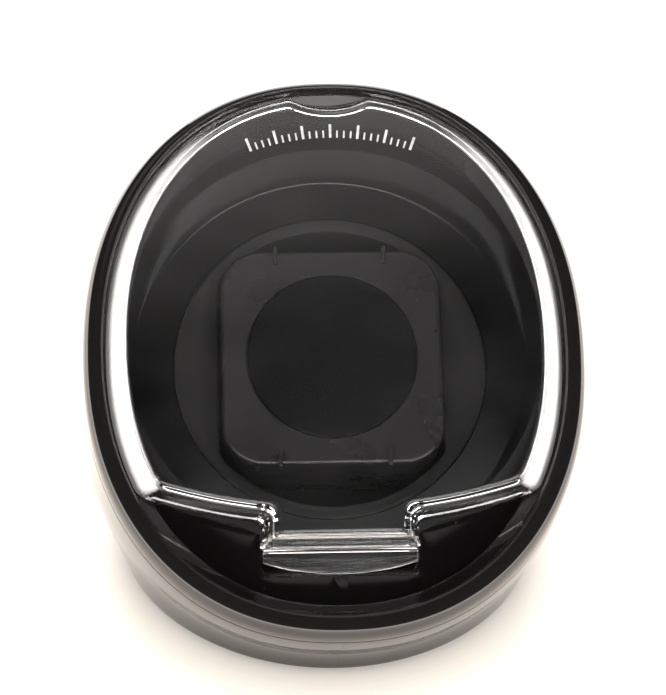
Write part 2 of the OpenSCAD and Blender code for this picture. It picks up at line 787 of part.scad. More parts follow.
module controller_board() {
    color("#1f5a3a") difference() {
        translate([-24, 16, board_z]) cube([48, 24, board_t]);
        for (x = [-21, 21]) translate([x, 19, board_z - 1]) cylinder(h = 4, r = 1.1, $fn = 24);
    }
}
module board_parts() {
    top = board_z + board_t;
    color("#303236") union() {
        translate([-5, 22, top]) cube([10, 5, 1.6]);
        translate([-18, 33, top]) cylinder(h = 5, r = 2.5, $fn = 32);
        translate([14, 34, top]) cube([6, 4, 3]);
        for (x = [-14, -10, 9, 12]) translate([x, 24, top]) cube([2, 1.2, 0.8]);
        // spacers down to the bottom cover
        for (x = [-21, 21])
            translate([x, 19, cover_low + cover_t])
                cylinder(h = board_z - cover_low - cover_t, r = 2.2, $fn = 32);
    }
}

left_shell();
right_shell();
front_bezel();
face_plate();
lid();
hinge_pin();
turning_cup();
spindle();
spindle_gear();
spindle_clip();
spindle_bush();
carrier_front();
carrier_back();
carrier_pad();
drive_frame();
frame_posts();
frame_screws();
gearhead();
motor_can();
motor_screws();
motor_pinion();
foot_ring();
bottom_cover();
cover_screws();
rubber_feet();
rear_panel();
dc_inlet();
direction_switch();
direction_slider();
program_switch();
program_slider();
controller_board();
board_parts();
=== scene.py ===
import json
import math

import bmesh
import bpy
from mathutils import Matrix, Vector


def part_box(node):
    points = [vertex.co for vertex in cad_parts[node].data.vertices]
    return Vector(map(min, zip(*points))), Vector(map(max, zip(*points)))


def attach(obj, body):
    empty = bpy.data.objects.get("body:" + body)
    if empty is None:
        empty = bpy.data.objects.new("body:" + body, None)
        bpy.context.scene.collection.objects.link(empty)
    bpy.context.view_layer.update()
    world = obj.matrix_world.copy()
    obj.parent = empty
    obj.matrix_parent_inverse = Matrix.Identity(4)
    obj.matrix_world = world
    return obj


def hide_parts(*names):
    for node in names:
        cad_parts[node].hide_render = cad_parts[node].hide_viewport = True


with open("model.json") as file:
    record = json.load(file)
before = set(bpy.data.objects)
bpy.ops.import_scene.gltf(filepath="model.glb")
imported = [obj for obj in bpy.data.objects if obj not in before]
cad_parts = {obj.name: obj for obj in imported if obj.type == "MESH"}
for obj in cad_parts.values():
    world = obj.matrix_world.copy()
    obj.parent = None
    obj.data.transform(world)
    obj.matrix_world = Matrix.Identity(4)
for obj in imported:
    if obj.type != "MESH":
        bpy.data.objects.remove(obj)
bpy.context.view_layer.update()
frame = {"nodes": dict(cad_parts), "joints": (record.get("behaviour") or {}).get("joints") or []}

# ---------------------------------------------------------------- the frame
# Lengths are in millimetres, except in the studio, where they are in metres.
# "Face" points are (u across, v up the face, n outward), from the middle of the opening.
MM = 0.001
JOINTS = {j["name"]: j for j in frame["joints"]}
ACROSS = Vector((1, 0, 0))
OUTWARD = Vector(JOINTS["cup_spin"]["axis"]).normalized()
UP_FACE = OUTWARD.cross(ACROSS)
DISC_N = -18.5  # the turning disc, below the face plate
FACE_CENTRE = Vector(JOINTS["cup_spin"]["pos_m"]) - OUTWARD * DISC_N * MM


def place(u, v, n):
    """A face point in the world."""
    return FACE_CENTRE + (ACROSS * u + UP_FACE * v + OUTWARD * n) * MM


# The case and its rim. The widths and heights of the rim, recess, pocket, lid and tab are
# measured from the middle. An outline's drop is how far its centre lies below the opening's.
RIM_W, RIM_H, RIM_DROP = 59.1, 68.3, 2.5
RECESS_W, RECESS_H, RECESS_DROP = RIM_W - 5.1, RIM_H - 4.3, 1.1
OVAL_POWER = 2.2
PARTING_N = -0.6
CHAMFER, CHAMFER_N = 3.0, 1.2
SHELL_WALL = 2.2
SHELL_FOOT_R, SHELL_FOOT_Z = 51.2, 2.2
# The case's side is a cubic curve from rim to foot: how far its two handles reach, as a share of
# the span, and how much they lean outward. Where the span is short, the foot's handle shrinks.
BELLY_REACH, BELLY_OUT = 0.45, 0.09
FOOT_REACH, FOOT_OUT, SHORT_SPAN, SHRINK_POWER = 0.7, 0.34, 60.0, 0.7

# The opening, the disc and the well, whose two flat sides lie WELL_FLAT from its middle
OPENING_R, FUNNEL_FLOOR_R, FUNNEL_N = 49.0, 47.3, -18.0
DISC_R, DISC_GAP = 37.7, 0.3
WELL_R, WELL_FLAT, WELL_N, WELL_WALL = 34.6, 27.05, -40.5, 1.5
SOCKET_U = 20.0  # the two sockets for the carrier's pegs, left and right
POCKET_W, POCKET_END, POCKET_N = 18.4, -55.5, -9.0

# The watch carrier
CARRIER_W, CARRIER_H, CARRIER_CORNER, CARRIER_N = 52.5, 53.0, 9.5, -9.5
CARRIER_SPLIT_N = -21.5
PAD_R = 20.2

# The lid
LID_W, LID_H, LID_WALL = RECESS_W - 0.5, RECESS_H - 0.5, 1.8
LID_BASE_N, TAB_BASE_N, LID_TOP_N = 1.3, 0.3, 9.4
LID_ARC_R, LID_ARC_V = 138.5, 94.3
# How far the lid's walls lean in towards its top: sides, lower arc, tab and front
LID_LEAN, ARC_LEAN, TAB_LEAN, FRONT_LEAN = 3.8, 1.2, 2.2, 0.4
TAB_W, TAB_FRONT, TAB_BEND_N, TAB_START_V = 17.9, -49.2, 2.5, -43.8
PIN_V, PIN_N, PIN_R, KNUCKLE_R = -47.9, -1.2, 0.9, 2.0
DIP_R, DIP_DEPTH = 19.0, 3.0

# The studio: how brightly the floor glows (painted light), where the glow starts and is full (metres),
# which leaves a painted shadow round the object, and the walls
PAINTED_FLOOR_GLOW, PAINTED_GLOW_START, PAINTED_GLOW_FULL = 2.4, 0.05, 0.12
PAINTED_GLOW_TINT = (1.0, 0.86, 0.73, 1)
WALL_BRIGHTNESS = 6.0


# ---------------------------------------------------------------- outlines
def lobe(x):
    """A cosine or sine, squared off as the oval's power asks."""
    return math.copysign(abs(x) ** (2 / OVAL_POWER), x)


def oval(t, half_w, half_h, drop):
    """A point of a superellipse, slightly fuller than an ellipse."""
    return half_w * lobe(math.cos(t)), half_h * lobe(math.sin(t)) - drop


def rim_at(t, inset):
    return oval(t, RIM_W - inset, RIM_H - inset, RIM_DROP)


def recess_at(t, inset):
    return oval(t, RECESS_W - inset, RECESS_H - inset, RECESS_DROP)


def turns(count):
    return [2 * math.pi * i / count for i in range(count)]


def lerp(a, b, f):
    return tuple(x + (y - x) * f for x, y in zip(a, b))


def bend(a, corner, b, f):
    """Point at f along the quadratic curve from a to b that is pulled to corner."""
    return lerp(lerp(a, corner, f), lerp(corner, b, f), f)


def rounded(corners, cut, steps):
    """The closed outline through corners, with each corner replaced by a short curve."""
    made = []
    count = len(corners)
    for i, corner in enumerate(corners):
        before, after = corners[i - 1], corners[(i + 1) % count]
        reach_a, reach_b = math.dist(before, corner), math.dist(corner, after)
        a = lerp(corner, before, min(cut, 0.45 * reach_a) / reach_a)
        b = lerp(corner, after, min(cut, 0.45 * reach_b) / reach_b)
        made += [bend(a, corner, b, k / steps) for k in range(steps + 1)]
    return made


def along(points, start, end, count):
    """count points spaced evenly on a polyline, from start to end short of its far end."""
    reach = [0.0]
    for a, b in zip(points, points[1:]):
        reach.append(reach[-1] + math.dist(a, b))
    made, k = [], 0
    for i in range(count):
        want = start + (reach[-1] - end - start) * i / (count - 1)
        while k < len(points) - 2 and reach[k + 1] < want:
            k += 1
        span = max(reach[k + 1] - reach[k], 1e-9)
        made.append(lerp(points[k], points[k + 1], (want - reach[k]) / span))
    return made


def rounded_square(w, h, r, per_corner):
    """Outline of a rounded rectangle, anticlockwise from the middle of its right side."""
    made = []
    for corner, (sx, sy) in enumerate(((1, 1), (-1, 1), (-1, -1), (1, -1))):
        for k in range(per_corner + 1):
            a = (corner + k / per_corner) * math.pi / 2
            made.append((sx * (w / 2 - r) + r * math.cos(a), sy * (h / 2 - r) + r * math.sin(a)))
    return made


# ---------------------------------------------------------------- mesh helpers
def mesh_piece(name, verts, faces):
    mesh = bpy.data.meshes.new(name)
    mesh.from_pydata([tuple(v) for v in verts], [], faces)
    clean(mesh)
    piece = bpy.data.objects.new(name, mesh)
    bpy.context.scene.collection.objects.link(piece)
    return piece


def clean(mesh):
    """Joins doubled points and turns every face outward."""
    merge = 1e-6
    shape = bmesh.new()
    shape.from_mesh(mesh)
    bmesh.ops.remove_doubles(shape, verts=shape.verts, dist=merge)
    bmesh.ops.dissolve_degenerate(shape, edges=shape.edges, dist=merge)
    bmesh.ops.recalc_face_normals(shape, faces=shape.faces)
    shape.to_mesh(mesh)
    shape.free()


def loft(name, loops, wrap=False):
    """Skin through closed loops of equal length. Both ends are capped, unless wrap joins them."""
    count = len(loops[0])
    verts = [p for loop in loops for p in loop]
    faces = []
    for i in range(len(loops) if wrap else len(loops) - 1):
        a, b = i * count, ((i + 1) % len(loops)) * count
        for j in range(count):
            k = (j + 1) % count
            faces.append((a + j, a + k, b + k, b + j))
    if not wrap:
        faces.append(tuple(range(count)))
        faces.append(tuple(range(len(verts) - count, len(verts))))
    return mesh_piece(name, verts, faces)


def face_ring(r, n, count):
    return [place(r * math.cos(t), r * math.sin(t), n) for t in turns(count)]


def apply_modifiers(piece):
    graph = bpy.context.evaluated_depsgraph_get()
    made = bpy.data.meshes.new_from_object(piece.evaluated_get(graph))
    piece.modifiers.clear()
    piece.data = made


def combine(piece, other, operation):
    """piece joined with, or cut by, other, which is then removed."""
    step = piece.modifiers.new(operation, "BOOLEAN")
    step.operation = operation
    step.solver = "EXACT"
    step.object = other
    apply_modifiers(piece)
    bpy.data.objects.remove(other)
    clean(piece.data)
    return piece


def soften(piece, width, angle, segments=3):
    """Small rounding along the edges sharper than angle, in degrees."""
    step = piece.modifiers.new("edges", "BEVEL")
    step.width = width * MM
    step.segments = segments
    step.limit_method = "ANGLE"
    step.angle_limit = math.radians(angle)
    step.use_clamp_overlap = True
    step.miter_outer = "MITER_ARC"
    apply_modifiers(piece)
    return piece


def shade(piece, sharp=40):
    """Smooth faces, with a crisp line at edges sharper than this many degrees."""
    piece.data.shade_smooth()
    piece.data.set_sharp_from_angle(angle=math.radians(sharp))
    return piece


def settle(piece, body, material, slot, *nodes, sharp):
    """Last step for a new piece: its shading, material, body and the nodes it replaces; the slot it is
    given is not used.
    """
    shade(piece, sharp)
    piece.data.materials.clear()
    piece.data.materials.append(material)
    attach(piece, body)
    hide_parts(*nodes)
    return piece


def box_piece(name, corner, size, to_world):
    """A box from its low corner and size, put in the world by to_world."""
    x, y, z = corner
    a, b, c = size
    square = ((0, 0), (1, 0), (1, 1), (0, 1))
    points = [to_world(x + i * a, y + j * b, z + k * c) for k in (0, 1) for i, j in square]
    return loft(name, [points[:4], points[4:]])


# ---------------------------------------------------------------- materials
def shader(name):
    made = bpy.data.materials.new(name)
    made.use_nodes = True
    return made, made.node_tree, made.node_tree.nodes["Principled BSDF"]


def texture(tree, kind, scale, stretch=(1, 1, 1), **sockets):
    """A procedural texture on the piece's own coordinates, scale in repeats per metre."""
    place_at = tree.nodes.new("ShaderNodeTexCoord")
    mapping = tree.nodes.new("ShaderNodeMapping")
    mapping.inputs["Scale"].default_value = stretch
    made = tree.nodes.new(kind)
    made.inputs["Scale"].default_value = scale
    for key, value in sockets.items():
        made.inputs[key].default_value = value
    tree.links.new(place_at.outputs["Object"], mapping.inputs["Vector"])
    tree.links.new(mapping.outputs["Vector"], made.inputs["Vector"])
    return made


def span(tree, source, low, high, from_low=0.0, from_high=1.0):
    """source, a socket, carried from one range to another."""
    made = tree.nodes.new("ShaderNodeMapRange")
    made.inputs["From Min"].default_value = from_low
    made.inputs["From Max"].default_value = from_high
    made.inputs["To Min"].default_value = low
    made.inputs["To Max"].default_value = high
    tree.links.new(source, made.inputs["Value"])
    return made.outputs["Result"]


def maths(tree, operation, *values):
    """One sum on sockets or numbers."""
    made = tree.nodes.new("ShaderNodeMath")
    made.operation = operation
    for socket, value in zip(made.inputs, values):
        if isinstance(value, bpy.types.NodeSocket):
            tree.links.new(value, socket)
        else:
            socket.default_value = value
    return made.outputs[0]


def across(tree, coordinate):
    """How far to either side a texture coordinate points."""
    at = tree.nodes.new("ShaderNodeTexCoord")
    split = tree.nodes.new("ShaderNodeSeparateXYZ")
    tree.links.new(at.outputs[coordinate], split.inputs["Vector"])
    return maths(tree, "ABSOLUTE", split.outputs["X"])


def blend_colour(tree, factor, first, second):
    made = tree.nodes.new("ShaderNodeMix")
    made.data_type = "RGBA"
    for socket, colour in ((made.inputs[6], first), (made.inputs[7], second)):
        if isinstance(colour, bpy.types.NodeSocket):
            tree.links.new(colour, socket)
        else:
            socket.default_value = (*colour, 1)
    tree.links.new(factor, made.inputs["Factor"])
    return made.outputs[2]


def bump(tree, principled, height, strength, distance):
    made = tree.nodes.new("ShaderNodeBump")
    made.inputs["Strength"].default_value = strength
    made.inputs["Distance"].default_value = distance * MM
    tree.links.new(height, made.inputs["Height"])
    tree.links.new(made.outputs["Normal"], principled.inputs["Normal"])


def dust(tree, spacing, size):
    """1 on scattered specks, 0 elsewhere: spacing in millimetres, size as a share of it."""
    cells = texture(tree, "ShaderNodeTexVoronoi", 1 / (spacing * MM), Randomness=1.0)
    return span(tree, cells.outputs["Distance"], 1.0, 0.0, size * 0.6, size)


def plastic(name, colour, roughness, grain, depth, speck=None, tint=1.25):
    """Moulded plastic: a little mottling, an uneven polish, grain and, on request, dust. The
    grain's size and depth are in millimetres."""
    made, tree, node = shader(name)
    cloud = texture(tree, "ShaderNodeTexNoise", 55, Detail=5.0, Roughness=0.6)
    fine = texture(tree, "ShaderNodeTexNoise", 1 / (grain * MM), Detail=3.0)
    light = tuple(min(1.0, c * tint) for c in colour)
    mottled = blend_colour(tree, cloud.outputs["Fac"], colour, light)
    polish = span(tree, cloud.outputs["Fac"], roughness * 0.75, roughness * 1.3, 0.3, 0.7)
    if speck:
        dust_tone = (0.35, 0.33, 0.3)
        specks = dust(tree, *speck)
        mottled = blend_colour(tree, specks, mottled, dust_tone)
        polish = maths(tree, "MULTIPLY_ADD", specks, 0.5, polish)
    tree.links.new(mottled, node.inputs["Base Color"])
    tree.links.new(polish, node.inputs["Roughness"])
    bump(tree, node, fine.outputs["Fac"], 0.6, depth)
    return made


def metal(name, colour, roughness, stretch, scratch=900):
    """Drawn or turned metal: fine lines along the grain, and a slightly uneven tone."""
    made, tree, node = shader(name)
    node.inputs["Metallic"].default_value = 1.0
    lines = texture(tree, "ShaderNodeTexNoise", scratch, stretch, Detail=6.0, Roughness=0.7)
    dark = tuple(c * 0.72 for c in colour)
    tone = blend_colour(tree, lines.outputs["Fac"], dark, colour)
    tree.links.new(tone, node.inputs["Base Color"])
    polish = span(tree, lines.outputs["Fac"], roughness * 0.7, roughness * 1.5, 0.3, 0.7)
    tree.links.new(polish, node.inputs["Roughness"])
    bump(tree, node, lines.outputs["Fac"], 0.5, 0.01)
    return made


def rubber(name, colour):
    made, tree, node = shader(name)
    coarse = texture(tree, "ShaderNodeTexNoise", 180, Detail=6.0)
    fine = texture(tree, "ShaderNodeTexVoronoi", 2600)
    pale = tuple(c * 1.8 for c in colour)
    tree.links.new(blend_colour(tree, coarse.outputs["Fac"], colour, pale), node.inputs["Base Color"])
    tree.links.new(span(tree, coarse.outputs["Fac"], 0.62, 0.85), node.inputs["Roughness"])
    bump(tree, node, fine.outputs["Distance"], 0.7, 0.06)
    return made


def pile(name, colour):
    """Short flocked pile: soft fibres in fine cells, brushed in patches."""
    made, tree, node = shader(name)
    node.inputs["Specular IOR Level"].default_value = 0.12
    node.inputs["Sheen Weight"].default_value = 0.02
    node.inputs["Sheen Roughness"].default_value = 0.45
    node.inputs["Sheen Tint"].default_value = (0.75, 0.75, 0.8, 1)
    brushed = texture(tree, "ShaderNodeTexNoise", 70, (1, 0.5, 1), Detail=4.0)
    fibres = texture(tree, "ShaderNodeTexVoronoi", 3200)
    fuzz = texture(tree, "ShaderNodeTexNoise", 2400, Detail=5.0)
    pale = tuple(c * 1.6 for c in colour)
    tone = blend_colour(tree, brushed.outputs["Fac"], colour, pale)
    flecked = blend_colour(tree, span(tree, fuzz.outputs["Fac"], 0, 0.5, 0.45, 0.75), tone, pale)
    tree.links.new(flecked, node.inputs["Base Color"])
    tree.links.new(span(tree, fuzz.outputs["Fac"], 0.6, 0.8), node.inputs["Roughness"])
    bump(tree, node, fibres.outputs["Distance"], 0.5, 0.05)
    return made


def clear_plastic(name, colour):
    """Clear moulded plastic that lets lamps through. Its left and right walls are partly white and rough
    in streaks, a painted reflection in place of the bright bands that reflected light makes in them; the
    rest has only faint smears."""
    painted_reflection_share, side_roughness, veil = 0.7, 0.22, 0.003
    made, tree, node = shader(name)
    node.inputs["Base Color"].default_value = (*colour, 1)
    node.inputs["Transmission Weight"].default_value = 1.0
    node.inputs["IOR"].default_value = 1.49
    smears = texture(tree, "ShaderNodeTexNoise", 38, (1, 2.5, 1), Detail=4.0)
    streaks = texture(tree, "ShaderNodeTexNoise", 90, (1, 1, 0.15), Detail=2.0)
    # the walls that face sideways, and of those only the ones far out from the middle
    walls = span(tree, across(tree, "Normal"), 0, 1, 0.45, 0.85)
    outer = span(tree, across(tree, "Object"), 0, 1, 0.025, 0.035)
    side = maths(tree, "MULTIPLY", walls, outer)
    painted_side_bands = maths(tree, "MULTIPLY", side, span(tree, streaks.outputs["Fac"], 0.8, 1.0, 0.35, 0.65))
    tree.links.new(maths(tree, "MULTIPLY", painted_side_bands, side_roughness), node.inputs["Roughness"])
    haze = span(tree, smears.outputs["Fac"], 1.0, 1.0 - veil, 0.3, 0.7)
    # painted reflection: this share of the side bands is white diffuse plastic instead of clear
    clarity = maths(tree, "MULTIPLY_ADD", painted_side_bands, -painted_reflection_share, haze)
    tree.links.new(clarity, node.inputs["Transmission Weight"])
    path = tree.nodes.new("ShaderNodeLightPath")
    through = tree.nodes.new("ShaderNodeBsdfTransparent")
    through.inputs["Color"].default_value = (*(c * 0.96 for c in colour), 1)
    mix = tree.nodes.new("ShaderNodeMixShader")
    tree.links.new(path.outputs["Is Shadow Ray"], mix.inputs["Fac"])
    tree.links.new(node.outputs["BSDF"], mix.inputs[1])
    tree.links.new(through.outputs["BSDF"], mix.inputs[2])
    tree.links.new(mix.outputs["Shader"], tree.nodes["Material Output"].inputs["Surface"])
    return made


def circuit_board(name, mask, copper):
    """Solder mask over a grid of tracks, with a few bright pads."""
    made, tree, node = shader(name)
    tracks = texture(tree, "ShaderNodeTexBrick", 420)
    tracks.inputs["Mortar Size"].default_value = 0.03
    tracks.inputs["Color1"].default_value = (0, 0, 0, 1)
    tracks.inputs["Color2"].default_value = (0.1, 0.1, 0.1, 1)
    tracks.inputs["Mortar"].default_value = (1, 1, 1, 1)
    pads = texture(tree, "ShaderNodeTexVoronoi", 260, Randomness=0.6)
    raised = tuple(min(1.0, c * 1.9) for c in mask)
    tone = blend_colour(tree, tracks.outputs["Color"], mask, raised)
    dots = span(tree, pads.outputs["Distance"], 1.0, 0.0, 0.1, 0.14)
    tree.links.new(blend_colour(tree, dots, tone, copper), node.inputs["Base Color"])
    tree.links.new(span(tree, tracks.outputs["Fac"], 0.35, 0.22), node.inputs["Roughness"])
    bump(tree, node, tracks.outputs["Fac"], 0.4, 0.04)
    return made


def ink(name, colour):
    made, tree, node = shader(name)
    grain = texture(tree, "ShaderNodeTexNoise", 900, Detail=5.0)
    faded = tuple(c * 0.75 for c in colour)
    worn = span(tree, grain.outputs["Fac"], 0, 1, 0.3, 0.6)
    tree.links.new(blend_colour(tree, worn, faded, colour), node.inputs["Base Color"])
    tree.links.new(span(tree, grain.outputs["Fac"], 0.35, 0.6), node.inputs["Roughness"])
    return made


def floor_with_painted_glow(name, colour):
    made, tree, node = shader(name)
    cloud = texture(tree, "ShaderNodeTexNoise", 3, Detail=4.0)
    pale = tuple(min(1.0, c * 1.02) for c in colour)
    tree.links.new(blend_colour(tree, cloud.outputs["Fac"], colour, pale), node.inputs["Base Color"])
    tree.links.new(span(tree, cloud.outputs["Fac"], 0.55, 0.7), node.inputs["Roughness"])
    # painted light: the floor glows though it is no lamp, and its glow fades out near the object, which
    # paints a shadow round it
    at = tree.nodes.new("ShaderNodeTexCoord")
    reach = tree.nodes.new("ShaderNodeVectorMath")
    reach.operation = "LENGTH"
    tree.links.new(at.outputs["Object"], reach.inputs[0])
    glow = span(tree, reach.outputs["Value"], 0.0, PAINTED_FLOOR_GLOW, PAINTED_GLOW_START, PAINTED_GLOW_FULL)
    node.inputs["Emission Color"].default_value = PAINTED_GLOW_TINT
    tree.links.new(glow, node.inputs["Emission Strength"])
    return made


GLOSS = plastic("gloss_case", (0.013, 0.0115, 0.011), 0.085, 7.0, 0.004, (8, 0.016))
GLOSS_RIM = plastic("gloss_rim", (0.006, 0.0055, 0.0055), 0.05, 7.0, 0.003, (9, 0.014))
GLOSS_PLATE = plastic("gloss_plate", (0.002, 0.0018, 0.0018), 0.11, 7.0, 0.004, (7, 0.018))
SATIN = plastic("satin_black", (0.0065, 0.006, 0.006), 0.36, 1.2, 0.004, (9, 0.016))
SATIN_CARRIER = plastic("satin_carrier", (0.007, 0.0065, 0.0068), 0.3, 1.2, 0.004, (8, 0.018))
MATTE = plastic("matte_black", (0.022, 0.022, 0.023), 0.55, 0.4, 0.04)
GREY_PLASTIC = plastic("frame_grey", (0.055, 0.055, 0.058), 0.5, 0.4, 0.03)
NATURAL = plastic("natural_acetal", (0.68, 0.65, 0.55), 0.35, 0.5, 0.01, tint=1.08)
WHITE_PLASTIC = plastic("slider_white", (0.72, 0.72, 0.69), 0.4, 0.4, 0.01, tint=1.05)
CHIP = plastic("moulded_epoxy", (0.03, 0.03, 0.033), 0.6, 0.3, 0.02)
STEEL = metal("bright_steel", (0.62, 0.6, 0.57), 0.2, (0.1, 1, 1))
PLATED = metal("plated_steel", (0.66, 0.67, 0.69), 0.28, (1, 1, 0.2))
SPRING = metal("spring_steel", (0.4, 0.4, 0.42), 0.32, (1, 1, 1))
BRONZE = metal("sintered_bronze", (0.55, 0.36, 0.17), 0.42, (1, 1, 1), 1600)
BRASS = metal("machined_brass", (0.78, 0.58, 0.26), 0.22, (1, 1, 0.2))
RUBBER = rubber("foot_rubber", (0.018, 0.018, 0.018))
PILE = pile("flocked_pad", (0.0018, 0.0017, 0.0018))
CLEAR = clear_plastic("clear_lid", (0.985, 0.985, 0.995))
BOARD = circuit_board("board_green", (0.012, 0.09, 0.04), (0.75, 0.62, 0.35))
INK = ink("pale_ink", (0.5, 0.505, 0.52))


# ---------------------------------------------------------------- the case halves
def shell_at(t, s, inset):
    """A point of the case: t goes round, s goes from the rim (0) to the foot (1)."""
    top = place(*rim_at(t, inset), PARTING_N)
    foot_r = SHELL_FOOT_R - inset
    foot = Vector((foot_r * math.cos(t), foot_r * math.sin(t), SHELL_FOOT_Z)) * MM
    span_m = (top - foot).length
    side = Vector((lobe(math.cos(t)) / RIM_W, lobe(math.sin(t)) / RIM_H))
    lean = (ACROSS * side.x + UP_FACE * side.y).normalized()
    q1 = top + BELLY_REACH * span_m * (BELLY_OUT * lean - OUTWARD)
    reach = FOOT_REACH * span_m * min(1.0, span_m / (SHORT_SPAN * MM)) ** SHRINK_POWER
    q2 = foot + reach * Vector((FOOT_OUT * math.cos(t), FOOT_OUT * math.sin(t), 1))
    r = 1 - s
    return r * r * r * top + 3 * r * r * s * q1 + 3 * r * s * s * q2 + s * s * s * foot


def half_loops(mirror):
    """One moulded half, from the front seam round to the back seam, with its inner skin."""
    columns, rows = 72, 36
    loops = []
    for j in range(columns + 1):
        t = -math.pi / 2 + math.pi * j / columns
        outer = [shell_at(t, i / rows, 0) for i in range(rows + 1)]
        inner = [shell_at(t, i / rows, SHELL_WALL) for i in range(rows, -1, -1)]
        loop = outer + inner
        # the seams lie exactly on the middle plane
        if j in (0, columns):
            loop = [Vector((0, p.y, p.z)) for p in loop]
        loops.append([Vector((-p.x, p.y, p.z)) for p in loop] if mirror else loop)
    return loops


def rear_cutter():
    """The window that the rear panel fits into."""
    low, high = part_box("rear_panel")
    play, corner = 0.1, 3.1
    inward, outward = 4.0, 20.0
    w = (high.x - low.x) / MM + 2 * play
    h = (high.z - low.z) / MM + 2 * play
    mid = (high.z + low.z) / 2
    plan = rounded_square(w, h, corner, 8)
    near, far = low.y - inward * MM, high.y + outward * MM
    return loft("cutter", [[Vector((x * MM, y, mid + z * MM)) for x, z in plan] for y in (near, far)])


for side_name, mirrored in (("right", False), ("left", True)):
    half = loft(f"case_{side_name}", half_loops(mirrored))
    combine(half, rear_cutter(), "DIFFERENCE")
    soften(half, 0.22, 50)
    settle(half, "case", GLOSS, "case_gloss", f"{side_name}_shell", sharp=50)


# ---------------------------------------------------------------- rim
def rim_point(t, w, inset, n):
    """Blends from the rim's outline (w 0) to the recess's (w 1)."""
    u, v = lerp(rim_at(t, inset), recess_at(t, inset), w)
    return place(u, v, n)


def make_rim():
    # (which outline, how far inside it, height)
    corners = [(0, 0.35, -0.55), (0, 0.1, -0.35), (0, 0, 0.3), (0, 0.12, 1.5), (0, 0.38, 2.7),
               (0, 0.78, 3.7), (0, 1.25, 4.4), (0, 1.85, 4.85), (0.5, 0.7, 5.0), (1, -0.5, 4.95),
               (1, -0.15, 4.6), (1, -0.02, 3.9), (1, 0, CHAMFER_N), (1, CHAMFER, 0.1),
               (1, CHAMFER, -2.95), (0, 3, -2.95), (0, 3, -0.55)]
    profile = rounded(corners, 0.4, 3)
    loops = [[rim_point(t, *row) for t in turns(300)] for row in profile]
    return loft("rim", loops, wrap=True)


settle(make_rim(), "case", GLOSS_RIM, "bezel_gloss", "front_bezel", sharp=60)


# ---------------------------------------------------------------- face plate, funnel and pocket
def opening_outline():
    """The opening seen on the face: a circle with the hinge pocket at its lower edge."""
    start = math.asin(POCKET_W / OPENING_R)
    sweep = 2 * math.pi - 2 * start
    circle_steps, wall_steps, end_steps = 220, 8, 10
    notch_w, notch_v = 1.4, POCKET_END - 0.9
    meet_v = -OPENING_R * math.cos(start)
    made = []
    for i in range(circle_steps + 1):
        a = -math.pi / 2 + start + sweep * i / circle_steps
        made.append((OPENING_R * math.cos(a), OPENING_R * math.sin(a)))
    left = [(-POCKET_W, meet_v + (POCKET_END - meet_v) * i / wall_steps)
            for i in range(1, wall_steps + 1)]
    left += [(-POCKET_W + (POCKET_W - notch_w) * i / end_steps, POCKET_END)
             for i in range(1, end_steps + 1)]
    left.append((-notch_w, notch_v))
    return made + left + [(-u, v) for u, v in reversed(left)]


def make_face():
    hole = opening_outline()
    wall, under = 1.8, -2.2
    pocket_wall, pocket_under = 2.4, POCKET_N - 1.6
    inside_rim = CHAMFER + 0.02
    lip, behind = 0.5, 1.2
    # (outward, upward) along the fillet where the funnel meets its floor
    fillet = ((0.1, 1.0), (-0.2, 0.3), (-0.9, 0.0))

    def outer(p, inset):
        a = math.atan2(p[1], p[0])
        # the outline's own parameter for about this direction
        t = math.atan2(math.copysign(abs(math.sin(a) / RECESS_H) ** (OVAL_POWER / 2), math.sin(a)),
                       math.copysign(abs(math.cos(a) / RECESS_W) ** (OVAL_POWER / 2), math.cos(a)))
        return recess_at(t, inset)

    def round_at(p, r):
        k = r / math.hypot(*p)
        return p[0] * k, p[1] * k

    def in_pocket(p):
        return math.hypot(*p) > OPENING_R + 1e-6

    def pocket_or(p, r, grow):
        if not in_pocket(p):
            return round_at(p, r)
        return p[0] * (1 + grow / POCKET_W), p[1] - grow

    mid_r = OPENING_R - (OPENING_R - FUNNEL_FLOOR_R) * (-POCKET_N / -FUNNEL_N)
    rows = [
        [(*outer(p, inside_rim), under) for p in hole],
        [(*outer(p, inside_rim), 0) for p in hole],
        [(*p, 0) for p in hole],
        [(*p, -lip) for p in hole],
        [(*(p if in_pocket(p) else round_at(p, mid_r)), POCKET_N) for p in hole],
        [(*round_at(p, mid_r), POCKET_N) for p in hole],
        *[[(*round_at(p, FUNNEL_FLOOR_R + out), FUNNEL_N + up) for p in hole] for out, up in fillet],
        [(*round_at(p, DISC_R + DISC_GAP), FUNNEL_N) for p in hole],
        [(*round_at(p, DISC_R + DISC_GAP), FUNNEL_N - wall) for p in hole],
        [(*round_at(p, FUNNEL_FLOOR_R + wall), FUNNEL_N - wall) for p in hole],
        [(*round_at(p, OPENING_R + behind), pocket_under) for p in hole],
        [(*pocket_or(p, OPENING_R + behind + 0.1, pocket_wall), pocket_under) for p in hole],
        [(*pocket_or(p, OPENING_R + wall, pocket_wall), under) for p in hole],
    ]
    return loft("face", [[place(*q) for q in row] for row in rows], wrap=True)


face = make_face()
soften(face, 0.35, 35)
settle(face, "case", GLOSS_PLATE, "plate_gloss", "face_plate", sharp=40)


# ---------------------------------------------------------------- turning cup
def well_outline(grow, count):
    """Circle with two flat sides, the four corners eased."""
    made = []
    for t in turns(count):
        r = min(WELL_R + grow, (WELL_FLAT + grow) / max(abs(math.cos(t)), 1e-6))
        made.append((r * math.cos(t), r * math.sin(t)))
    for _ in range(2):
        made = [lerp(lerp(made[i - 1], made[(i + 1) % count], 0.5), p, 0.5) for i, p in enumerate(made)]
    return made


